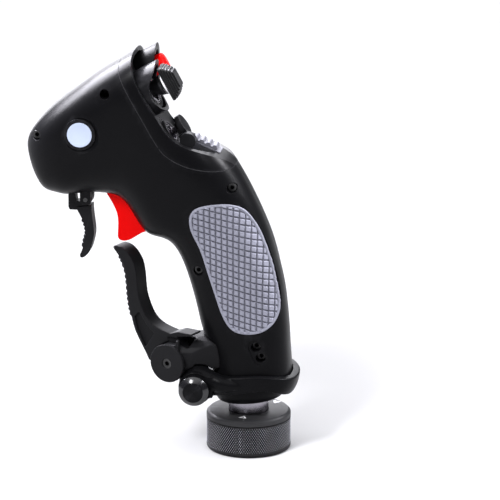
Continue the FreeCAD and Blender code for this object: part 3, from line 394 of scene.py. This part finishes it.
def melted(node, cell, rounds, more=(), less=()):
    """A smooth, softly blended skin over a CAD node, with solids added and cut away before it."""
    mesh = frame["nodes"][node].data.copy()
    if less:
        mesh = carved(mesh, less)
    if more:
        shaped = bmesh.new()
        shaped.from_mesh(mesh)
        for vertices, faces in more:
            shaped.from_mesh(solid_mesh(vertices, faces))
        shaped.to_mesh(mesh)
        shaped.free()
    slot = slot_of(node)
    thing = finished_piece(node + "_skin", mesh, finishes[slot], body_of(node), (node,))
    cells = thing.modifiers.new("cells", "REMESH")
    cells.mode = "VOXEL"
    cells.voxel_size = cell
    cells.use_smooth_shade = True
    smooth = thing.modifiers.new("smooth", "SMOOTH")
    smooth.factor = 0.5
    smooth.iterations = rounds
    return thing


def ring_faces(columns, rows, closed_ends=False):
    """Faces between rings of points. Closed ends join the last ring to the first."""
    faces = []
    for j in range(rows - 1):
        for i in range(columns):
            k = (i + 1) % columns
            faces.append((j * columns + i, j * columns + k, (j + 1) * columns + k, (j + 1) * columns + i))
    if closed_ends:
        for i in range(columns):
            k = (i + 1) % columns
            last = (rows - 1) * columns
            faces.append((last + i, last + k, k, i))
    return faces


def solid_mesh(vertices, faces):
    mesh = bpy.data.meshes.new("solid")
    mesh.from_pydata([tuple(v) for v in vertices], [], faces)
    face_outwards(mesh)
    return mesh


def carved(mesh, solids):
    """The mesh with these solids cut away."""
    shaped = bmesh.new()
    shaped.from_mesh(mesh)
    bmesh.ops.remove_doubles(shaped, verts=shaped.verts, dist=WELD)
    shaped.to_mesh(mesh)
    shaped.free()
    work = bpy.data.objects.new("work", mesh)
    bpy.context.collection.objects.link(work)
    cutters = []
    for vertices, faces in solids:
        cutter = bpy.data.objects.new("cutter", solid_mesh(vertices, faces))
        bpy.context.collection.objects.link(cutter)
        cut = work.modifiers.new("cut", "BOOLEAN")
        cut.operation = "DIFFERENCE"
        cut.solver = "EXACT"
        cut.object = cutter
        cutters.append(cutter)
    result = bpy.data.meshes.new_from_object(work.evaluated_get(bpy.context.evaluated_depsgraph_get()))
    for thing in [work] + cutters:
        bpy.data.objects.remove(thing)
    return result


def closed_tube(centres, along, extra=0.0, limit=None):
    """A closed tube of rings square to one axis, through (centre, radius) pairs in millimetres."""
    columns = 32
    side = along.orthogonal().normalized()
    other = along.cross(side)
    vertices = []
    for x, y, z, radius in centres:
        for i in range(columns):
            turn = 2 * math.pi * i / columns
            outward = side * math.cos(turn) + other * math.sin(turn)
            spot = (Vector((x, y, z)) + outward * (radius + extra)) * MM
            vertices.append(limit(spot) if limit else spot)
    faces = ring_faces(columns, len(centres))
    faces.append(tuple(range(columns)))
    faces.append(tuple(len(vertices) - columns + k for k in reversed(range(columns))))
    return vertices, faces


def knurl_depth(a, b):
    """0 on a crest, 1 in a groove, for two crossing families of V grooves."""
    first = abs(2 * ((a + b) % 1.0) - 1)
    second = abs(2 * ((a - b) % 1.0) - 1)
    return max(first, second)


def turned(profile, columns, origin, axis, start_dir, knurl_count=0, knurl_pitch=1.0, knurl_height=0.0):
    """Revolve a closed profile of (radius, along, knurled) round an axis. Sizes in metres."""
    side = axis.cross(start_dir)
    vertices = []
    for radius, along, knurled in profile:
        for i in range(columns):
            turn = 2 * math.pi * i / columns
            r = radius
            if knurled:
                r -= knurl_height * knurl_depth(knurl_count * i / columns, along / knurl_pitch)
            outward = start_dir * math.cos(turn) + side * math.sin(turn)
            vertices.append(origin + axis * along + outward * r)
    return vertices, ring_faces(columns, len(profile), closed_ends=True)


# ---- ring nut -----------------------------------------------------------------------------------------
def make_ring_nut():
    """The ring nut: a diamond-knurled band with rubbed crests, a groove, and a ridged thread inside."""
    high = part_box("ring_nut")[1]
    outer = high.x
    height = high.z
    pitch = 1.9 * MM
    steps = 6
    knurls = 112
    columns = knurls * steps
    knurl_height = 0.55 * MM
    crest_share = 0.42
    band_start = 2.6 * MM
    band_rows = 43
    web = 15.2 * MM
    inner = 17.0 * MM
    hole = 10.65 * MM
    profile = [(hole, web, 0), (hole, height - 0.2 * MM, 0), (hole + 0.2 * MM, height, 0),
               (outer - 1.6 * MM, height, 0), (outer - 1.2 * MM, height - 0.15 * MM, 0),
               (outer - 0.15 * MM, height - 1.2 * MM, 0), (outer, height - 1.6 * MM, 0),
               (outer, height - 3.3 * MM, 0), (outer - 0.5 * MM, height - 3.35 * MM, 0),
               (outer - 0.5 * MM, height - 3.8 * MM, 0), (outer - 0.02 * MM, height - 3.85 * MM, 0)]
    for k in range(band_rows, -1, -1):
        profile.append((outer, band_start + pitch * k / steps, 1))
    profile.append((outer - 0.02 * MM, band_start - 0.15 * MM, 0))
    for k in range(7):
        turn = math.radians(15 * k)
        profile.append((outer - 1.6 * MM * (1 - math.cos(turn)), 1.6 * MM * (1 - math.sin(turn)), 0))
    profile += [(inner + 0.6 * MM, 0, 0)]
    thread = 1.5 * MM
    for k in range(7):
        z = 0.6 * MM + thread * k
        profile += [(inner, z, 0), (inner + 0.6 * MM, z + thread * 0.5, 0)]
    profile += [(inner + 0.7 * MM, 10.6 * MM, 0), (inner + 0.7 * MM, web, 0)]
    vertices, faces = turned(profile, columns, Vector(), UP, FORE_AFT, knurls, pitch, knurl_height)
    kinds = []
    for index in range(len(faces)):
        row = index // columns
        knurled = profile[row][2] and profile[(row + 1) % len(profile)][2]
        middle = (profile[row][1] + profile[(row + 1) % len(profile)][1]) / 2
        crest = knurl_depth((index % columns + 0.5) / steps, middle / pitch) < crest_share
        kinds.append((2 if crest else 1) if knurled else 0)
    piece("ring_nut_knurled", vertices, faces, (finishes["dark_metal"], knurl_finish, crest_finish),
          body_of("ring_nut"), ("ring_nut",), sharp=28, kinds=kinds)


def make_knob():
    """A thumb knob: a fine knurled band, a broad polished chamfer and a black face."""
    low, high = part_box("clamp_knob")
    radius = (high.x - low.x) / 2
    length = high.y - low.y
    middle = Vector(((low.x + high.x) / 2, high.y, (low.z + high.z) / 2))
    pitch = 0.9 * MM
    profile = [(2.6 * MM, 0, 0), (radius - 0.5 * MM, 0, 0), (radius - 0.05 * MM, 0.35 * MM, 0)]
    profile += [(radius, 0.4 * MM + pitch * k / 4, 1) for k in range(9)]
    profile += [(radius - 0.1 * MM, 2.4 * MM, 0), (radius, 2.6 * MM, 0), (radius, length - 2.7 * MM, 0),
                (radius - 2.6 * MM, length - 0.1 * MM, 2), (radius - 2.9 * MM, length, 0),
                (0.05 * MM, length, 0), (0.05 * MM, 3.5 * MM, 0), (2.6 * MM, 3.5 * MM, 0)]
    knurls = 56
    columns = knurls * 6
    knurl_height = 0.3 * MM
    vertices, faces = turned([(r, a, k == 1) for r, a, k in profile], columns, middle, -ACROSS, FORE_AFT,
                             knurls, pitch, knurl_height)
    rows = [profile[(row + 1) % len(profile)][2] for row in range(len(profile))]
    kinds = [1 if rows[index // columns] == 2 else 0 for index in range(len(faces))]
    piece("clamp_knob_turned", vertices, faces, (finishes["black_plastic"], knob_finish),
          body_of("clamp_knob"), ("clamp_knob",), sharp=28, kinds=kinds)


# ---- hand rest and lever bracket ----------------------------------------------------------------------
def make_rest_and_bracket():
    """The rest's boss swells into an arm that sweeps onto the handle; the bracket slopes down to it."""
    shell = BVHTree.FromObject(frame["nodes"]["left_shell"], bpy.context.evaluated_depsgraph_get())

    def outside(spot):
        hit = shell.ray_cast(Vector((spot.x, -0.1, spot.z)), Vector((0, 1, 0)))[0]
        if hit:
            spot.y = min(spot.y, hit.y - 0.6 * MM)
        return spot

    boss = [(-25.3, -24.4, 38.4, 8.9), (-25.3, -21.8, 38.8, 9.0), (-25.4, -19.0, 39.9, 9.1),
            (-25.6, -16.5, 41.2, 9.1), (-25.7, -14.4, 42.0, 8.6)]
    arm = [(-26.5, -17.3, 42.0, 8.0), (-22.0, -17.8, 42.3, 7.2), (-17.0, -19.4, 41.6, 5.8),
           (-12.0, -21.4, 40.8, 4.8), (-6.0, -22.4, 40.2, 3.4), (0.0, -22.6, 40.4, 1.6)]
    clearance = 0.6
    slope = [(-40, 44), (-21.2, 46.5), (-21.0, 52.0), (-20.5, 56.6), (-18.6, 59.4), (-14.0, 62.0),
             (-6.0, 64.4), (4, 65.3), (4, 80), (-40, 80)]
    wall = [Vector((x, y, z)) * MM for x in (-34.2, -8.0) for y, z in slope]
    count = len(slope)
    wall_faces = [tuple(range(count)), tuple(reversed(range(count, 2 * count)))]
    wall_faces += [(k, (k + 1) % count, count + (k + 1) % count, count + k) for k in range(count)]
    melted("hand_rest", 0.4 * MM, 12,
           more=[closed_tube(boss, ACROSS, limit=outside), closed_tube(arm, FORE_AFT, limit=outside)])
    melted("lever_bracket", 0.35 * MM, 14,
           less=[(wall, wall_faces), closed_tube(boss, ACROSS, clearance),
                 closed_tube(arm, FORE_AFT, clearance)])


# ---- floor and lights -------------------------------------------------------------------------------
def make_stage():
    size = 4.0
    level = cad_low.z - 0.05 * MM
    corners = [(-size, -size, level), (size, -size, level), (size, size, level), (-size, size, level)]
    mesh = bpy.data.meshes.new("floor")
    mesh.from_pydata(corners, [], [(0, 1, 2, 3)])
    mesh.materials.append(floor_finish())
    floor = bpy.data.objects.new("floor", mesh)
    bpy.context.collection.objects.link(floor)


def make_flag():
    """A flag that keeps the lamps off the paper, so that it stays evenly pale."""
    flag = bpy.data.collections.new("kept_off_floor")
    flag.objects.link(bpy.data.objects["floor"])
    flag.collection_objects[0].light_linking.link_state = "EXCLUDE"
    return flag


def make_light(name, place, size, power, colour, flag):
    data = bpy.data.lights.new(name, "AREA")
    data.energy = power
    data.color = colour
    data.size = size
    light = bpy.data.objects.new(name, data)
    light.location = place
    if flag:
        light.light_linking.receiver_collection = flag
    aim = Vector((-0.03, 0.0, 0.11)) - Vector(place)
    light.rotation_mode = "QUATERNION"
    light.rotation_quaternion = aim.to_track_quat("-Z", "Y")
    bpy.context.collection.objects.link(light)


def make_sky():
    """A studio ceiling: soft light from straight above that fades out towards the walls."""
    world = bpy.data.worlds.new("studio")
    world.use_nodes = True
    tree = world.node_tree
    background = tree.nodes["Background"]
    coordinates = tree.nodes.new("ShaderNodeTexCoord")
    split = tree.nodes.new("ShaderNodeSeparateXYZ")
    ceiling = tree.nodes.new("ShaderNodeMapRange")
    ceiling.interpolation_type = "SMOOTHSTEP"
    ceiling.inputs["From Min"].default_value = 0.45
    ceiling.inputs["From Max"].default_value = 0.95
    ceiling.inputs["To Min"].default_value = 0.04
    ceiling.inputs["To Max"].default_value = 2.2
    tree.links.new(coordinates.outputs["Generated"], split.inputs["Vector"])
    tree.links.new(split.outputs["Z"], ceiling.inputs["Value"])
    tree.links.new(ceiling.outputs["Result"], background.inputs["Strength"])
    background.inputs["Color"].default_value = (0.97, 0.97, 1.0, 1.0)
    bpy.context.scene.world = world


def make_lights():
    flag = make_flag()
    make_light("left_rear", (-0.55, 0.35, 0.75), 0.65, 84, (0.93, 0.92, 1.0), flag)
    make_light("rear_wide", (-0.3, 1.3, 0.5), 1.0, 16, (0.95, 0.95, 1.0), flag)
    make_light("left_front", (-0.42, -0.74, 0.95), 0.3, 12, (0.97, 0.97, 1.0), None)
    make_light("right_high", (0.75, -0.45, 0.8), 0.15, 2.5, (0.95, 0.95, 1.0), flag)
    make_light("right_rear", (0.6, 0.25, 0.55), 0.2, 12, (0.95, 0.95, 1.0), flag)
    make_sky()
    bpy.context.scene.view_settings.view_transform = "Standard"


# ---- grip pads -------------------------------------------------------------------------------------------
def pad_outline(node):
    """The pad's edge in the side view, evenly spaced, from the walls of its CAD solid."""
    mesh = frame["nodes"][node].data
    points = set()
    for face in mesh.polygons:
        if abs(face.normal.y) < 0.25:
            for index in face.vertices:
                place = mesh.vertices[index].co
                points.add((round(place.x, 6), round(place.z, 6)))
    middle = Vector((sum(p[0] for p in points), sum(p[1] for p in points))) / len(points)
    order = sorted(points, key=lambda p: math.atan2(p[1] - middle.y, p[0] - middle.x))
    loop = [Vector(p) for p in order]
    lengths = [(b - a).length for a, b in zip(loop, loop[1:] + loop[:1])]
    total = sum(lengths)
    count = 260
    result = []
    index = 0
    walked = 0.0
    for k in range(count):
        target = total * k / count
        while walked + lengths[index] < target:
            walked += lengths[index]
            index += 1
        a = loop[index]
        b = loop[(index + 1) % len(loop)]
        result.append(a + (b - a) * ((target - walked) / lengths[index]))
    for _ in range(3):
        before = result[-1:] + result[:-1]
        after = result[1:] + result[:1]
        result = [(a + b * 2 + c) / 4 for a, b, c in zip(before, result, after)]
    return result


def inside(point, loop):
    found = False
    for a, b in zip(loop, loop[1:] + loop[:1]):
        if (a.y > point.y) != (b.y > point.y):
            if point.x < a.x + (b.x - a.x) * (point.y - a.y) / (b.y - a.y):
                found = not found
    return found


def shifted_in(loop, distance):
    """The closed loop moved inwards. It runs anticlockwise."""
    result = []
    for before, here, after in zip(loop[-1:] + loop[:-1], loop, loop[1:] + loop[:1]):
        along = (after - before).normalized()
        result.append(here + Vector((-along.y, along.x)) * distance)
    return result


def make_pad(node, side):
    """A rubber pad: truncated pyramids in slanting rows, inside a smooth raised rim, with painted shade on
    the groove floors.
    """
    tree = BVHTree.FromObject(frame["nodes"][node], bpy.context.evaluated_depsgraph_get())
    outline = pad_outline(node)
    middle = sum(outline, Vector((0, 0))) / len(outline)

    def depth(point):
        """How far out the pad's skin is here."""
        for pull in (0.0, 0.01, 0.02, 0.04, 0.07, 0.1):
            spot = point + (middle - point) * pull
            hit = tree.ray_cast(Vector((spot.x, side * 0.1, spot.y)), Vector((0, -side, 0)))[0]
            if hit:
                return hit.y
        return 0.0

    column = 3.0 * MM
    row = 3.3 * MM
    dip = 0.29
    stops = (0.0, 0.08, 0.24, 0.5, 0.8, 0.92)
    lift = 0.85 * MM
    keep = shifted_in(outline, 0.95 * MM)
    low_x = min(p.x for p in outline)
    high_x = max(p.x for p in outline)
    low_z = min(p.y for p in outline)
    high_z = max(p.y for p in outline)
    columns = int((high_x - low_x) / column) + 2
    rows = int((high_z - low_z + dip * (high_x - low_x)) / row) + 3
    ups = [k + s for k in range(rows) for s in stops]
    acrosses = [k + s for k in range(columns) for s in stops]
    grid = {}
    vertices = []
    faces = []
    kinds = []

    def raised(u):
        part = u % 1.0
        return 1.0 if 0.2 < part < 0.85 else 0.0

    def vertex(i, j):
        if (i, j) not in grid:
            x = low_x + (acrosses[i] - 0.4) * column
            z = low_z + (ups[j] - 0.6) * row - dip * (x - low_x - 0.012)
            out = depth(Vector((x, z)))
            height = (lift if raised(acrosses[i]) and raised(ups[j]) else 0.0) - 0.95 * MM
            grid[(i, j)] = len(vertices)
            vertices.append(Vector((x, out + side * height, z)))
        return grid[(i, j)]

    for i in range(len(acrosses) - 1):
        for j in range(len(ups) - 1):
            x = low_x + ((acrosses[i] + acrosses[i + 1]) / 2 - 0.4) * column
            z = low_z + ((ups[j] + ups[j + 1]) / 2 - 0.6) * row - dip * (x - low_x - 0.012)
            if inside(Vector((x, z)), keep):
                faces.append((vertex(i, j), vertex(i + 1, j), vertex(i + 1, j + 1), vertex(i, j + 1)))
                corners = [(acrosses[m], ups[n]) for m in (i, i + 1) for n in (j, j + 1)]
                # Faces with no raised corner take the darker finish: painted shade in the grooves.
                groove = not any(raised(u) and raised(v) for u, v in corners)
                kinds.append(1 if groove else 0)
    texture = piece(node + "_pyramids", vertices, faces, (finishes["pad_rubber"], groove_painted_shade_finish), "grip",
                    sharp=20, kinds=kinds)
    solid = texture.modifiers.new("thickness", "SOLIDIFY")
    solid.thickness = 0.5 * MM
    solid.offset = -1
    section = [(0.05, -1.2), (0.05, -0.05), (0.2, 0.18), (0.5, 0.3), (1.0, 0.3), (1.35, 0.15), (1.55, -0.1),
               (1.7, -0.7), (1.7, -1.2)]
    vertices = []
    loops = [shifted_in(outline, inset * MM) for inset, height in section]
    for inset_loop, (inset, height) in zip(loops, section):
        for k, spot in enumerate(inset_loop):
            vertices.append(Vector((spot.x, depth(loops[4][k]) + side * (height - 0.45) * MM, spot.y)))
    faces = ring_faces(len(outline), len(section), closed_ends=True)
    piece(node + "_rim", vertices, faces, finishes["pad_rubber"], "grip", (node,), sharp=50)


# ---- ribbed strips -------------------------------------------------------------------------------------
def smooth_line(points, count):
    """Catmull-Rom through the points."""
    pts = [points[0] * 2 - points[1]] + points + [points[-1] * 2 - points[-2]]
    spans = len(points) - 1
    result = []
    for k in range(count + 1):
        t = spans * k / count
        i = min(int(t), spans - 1)
        f = t - i
        a, b, c, d = pts[i:i + 4]
        result.append(((b * 2) + (c - a) * f + (a * 2 - b * 5 + c * 4 - d) * f * f
                       + (b * 3 - a - c * 3 + d) * f * f * f) / 2)
    return result


def ribbed_strip(name, points, half_width, back, proud, rib, ribs, place, finish, body, hides=()):
    """A strip along a side-view line with round ribs across it. Its ends are closed with flat caps."""
    count = ribs * 10
    line = smooth_line([Vector(p) for p in points], count)
    across = [(-1.0, -0.25), (-0.96, 0.0), (-0.82, 0.85), (-0.6, 1.0), (0.6, 1.0), (0.82, 0.85), (0.96, 0.0),
              (1.0, -0.25)]
    vertices = []
    for k, point in enumerate(line):
        along = (line[min(k + 1, count)] - line[max(k - 1, 0)]).normalized()
        outward = Vector((along.y, -along.x))
        if outward.x < 0:
            outward = -outward
        wave = abs(math.sin(math.pi * ribs * k / count)) ** 0.8
        for side, level in across:
            height = proud + rib * wave if level > 0 else 0.0
            spot = point + outward * (height * max(level, 0.0) - (back if level < 0 else 0.0))
            vertices.append(place @ Vector((spot.x, side * half_width, spot.y)))
    width = len(across)
    faces = []
    for k in range(count):
        for i in range(width):
            j = (i + 1) % width
            faces.append((k * width + i, (k + 1) * width + i, (k + 1) * width + j, k * width + j))
    faces.append(tuple(range(width)))
    faces.append(tuple(count * width + i for i in reversed(range(width))))
    return piece(name, vertices, faces, finish, body, hides, sharp=40)


def lever_place():
    """The brake lever's own axes: forward of its hinge, which is turned towards the hand, and up."""
    turn = Matrix.Rotation(math.radians(156), 4, "Z")
    return Matrix.Translation(Vector(joints["brake_pull"]["pos_m"])) @ turn


def make_ribs():
    line = [(26.6, 20.4), (27.8, 24.6), (28.6, 29.1), (29.1, 34.2), (29.6, 39.6), (30.5, 44.7), (32.5, 49.6),
            (34.3, 52.4)]
    ribbed_strip("lever_pad_ribbed", [(x * MM, z * MM) for x, z in line], 4.8 * MM, 0.9 * MM, 0.4 * MM,
                 0.9 * MM, 12, lever_place(), rib_finish, "lever",
                 ("lever_pad",))
    front = [(-88.4, 123.2), (-87.0, 119.5), (-86.5, 115.7), (-87.4, 112.0), (-88.3, 107.6)]
    flip = Matrix.Scale(-1, 4, FORE_AFT)
    ribbed_strip("flip_trigger_ridges", [(-x * MM, z * MM) for x, z in front], 3.7 * MM, 0.8 * MM, 0.3 * MM,
                 0.8 * MM, 7, flip, finishes["lever_plastic"], "flip")


# ---- seams and marks -------------------------------------------------------------------------------------
def make_seams():
    """The parting line between the shells and the thumb panel: a dark gap with a lit edge beside it."""
    line = [(-67.4, 226), (-66.4, 214), (-65.0, 207.4), (-61.8, 200.8), (-53.6, 186.4), (-43.5, 169.0),
            (-37.2, 163.0), (-28.9, 158.9), (-19.9, 156.6), (-12.1, 155.7), (-4.6, 156.0), (6.0, 158.5)]
    path = smooth_line([Vector(p) * MM for p in line], 240)
    trees = [BVHTree.FromObject(frame["nodes"][node], bpy.context.evaluated_depsgraph_get())
             for node in ("left_shell", "right_shell", "thumb_panel")]
    for side, label in ((-1, "left"), (1, "right")):
        spots = []
        for k, point in enumerate(path):
            start = Vector((point.x, side * 0.1, point.y))
            hits = [tree.ray_cast(start, Vector((0, -side, 0))) for tree in trees]
            hits = [(hit[0], hit[1]) for hit in hits if hit[0] and abs(hit[0].y) > 2 * MM]
            if hits:
                place, normal = max(hits, key=lambda hit: abs(hit[0].y))
                along = path[min(k + 1, len(path) - 1)] - path[max(k - 1, 0)]
                spots.append((place, normal, Vector((along.x, 0, along.y)).normalized()))
        for name, shift, radius, rise, finish in (("gap", 0.0, 0.13, 0.0, finishes["inner_plastic"]),
                                                  ("lip", 0.2, 0.1, 0.02, finishes["lever_plastic"])):
            vertices = []
            for place, normal, along in spots:
                beside = normal.cross(along).normalized()
                centre = place + beside * (shift * MM * side) + normal * (rise * MM)
                for corner in range(6):
                    turn = math.pi * corner / 3
                    outward = beside * math.cos(turn) + normal * math.sin(turn)
                    vertices.append(centre + outward * radius * MM)
            faces = ring_faces(6, len(spots))
            faces.append(tuple(range(6)))
            faces.append(tuple(len(vertices) - 6 + k for k in reversed(range(6))))
            piece("seam_" + name + "_" + label, vertices, faces, finish, "grip", sharp=80)


def make_marks():
    """Painted turning marks on the ring's top: small open triangles."""
    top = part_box("ring_nut")[1].z
    for label, turn, radius, size, point in (("a", 267, 15.6, 2.5, 200), ("b", 44, 18.2, 2.6, 130)):
        middle = Vector((math.cos(math.radians(turn)), math.sin(math.radians(turn)))) * radius * MM
        corners = []
        for k in range(3):
            corner = math.radians(point + 120 * k)
            corners.append(Vector((math.cos(corner), math.sin(corner))) * size * MM)
        vertices = [Vector((middle.x + c.x * scale, middle.y + c.y * scale, top + rise))
                    for scale in (1.0, 0.45) for rise in (-0.02 * MM, 0.03 * MM) for c in corners]
        faces = []
        for k in range(3):
            n = (k + 1) % 3
            faces += [(3 + k, 3 + n, 9 + n, 9 + k), (k, n, 3 + n, 3 + k), (6 + n, 6 + k, 9 + k, 9 + n),
                      (n, k, 6 + k, 6 + n)]
        piece("turn_mark_" + label, vertices, faces, finishes["white_plastic"], body_of("ring_nut"))


make_camera()
dress_nodes()
make_ring_nut()
make_pad("left_pad", -1)
make_pad("right_pad", 1)
make_ribs()
make_knob()
make_seams()
make_marks()
for name, width in (("trigger", 1.6 * MM), ("flip_trigger", 0.7 * MM),
                    ("hinge_caps", 0.5 * MM), ("red_button", 0.6 * MM), ("button_shroud", 0.35 * MM)):
    softened(name, width)
# The hat cap's light edges are partly a painted highlight.
softened("hat_cap", 0.3 * MM, finish=painted_highlight_control_finish)
make_rest_and_bracket()
for name, cell, rounds in (("brake_lever", 0.3 * MM, 8), ("flip_bracket", 0.2 * MM, 4)):
    melted(name, cell, rounds)
make_stage()
make_lights()
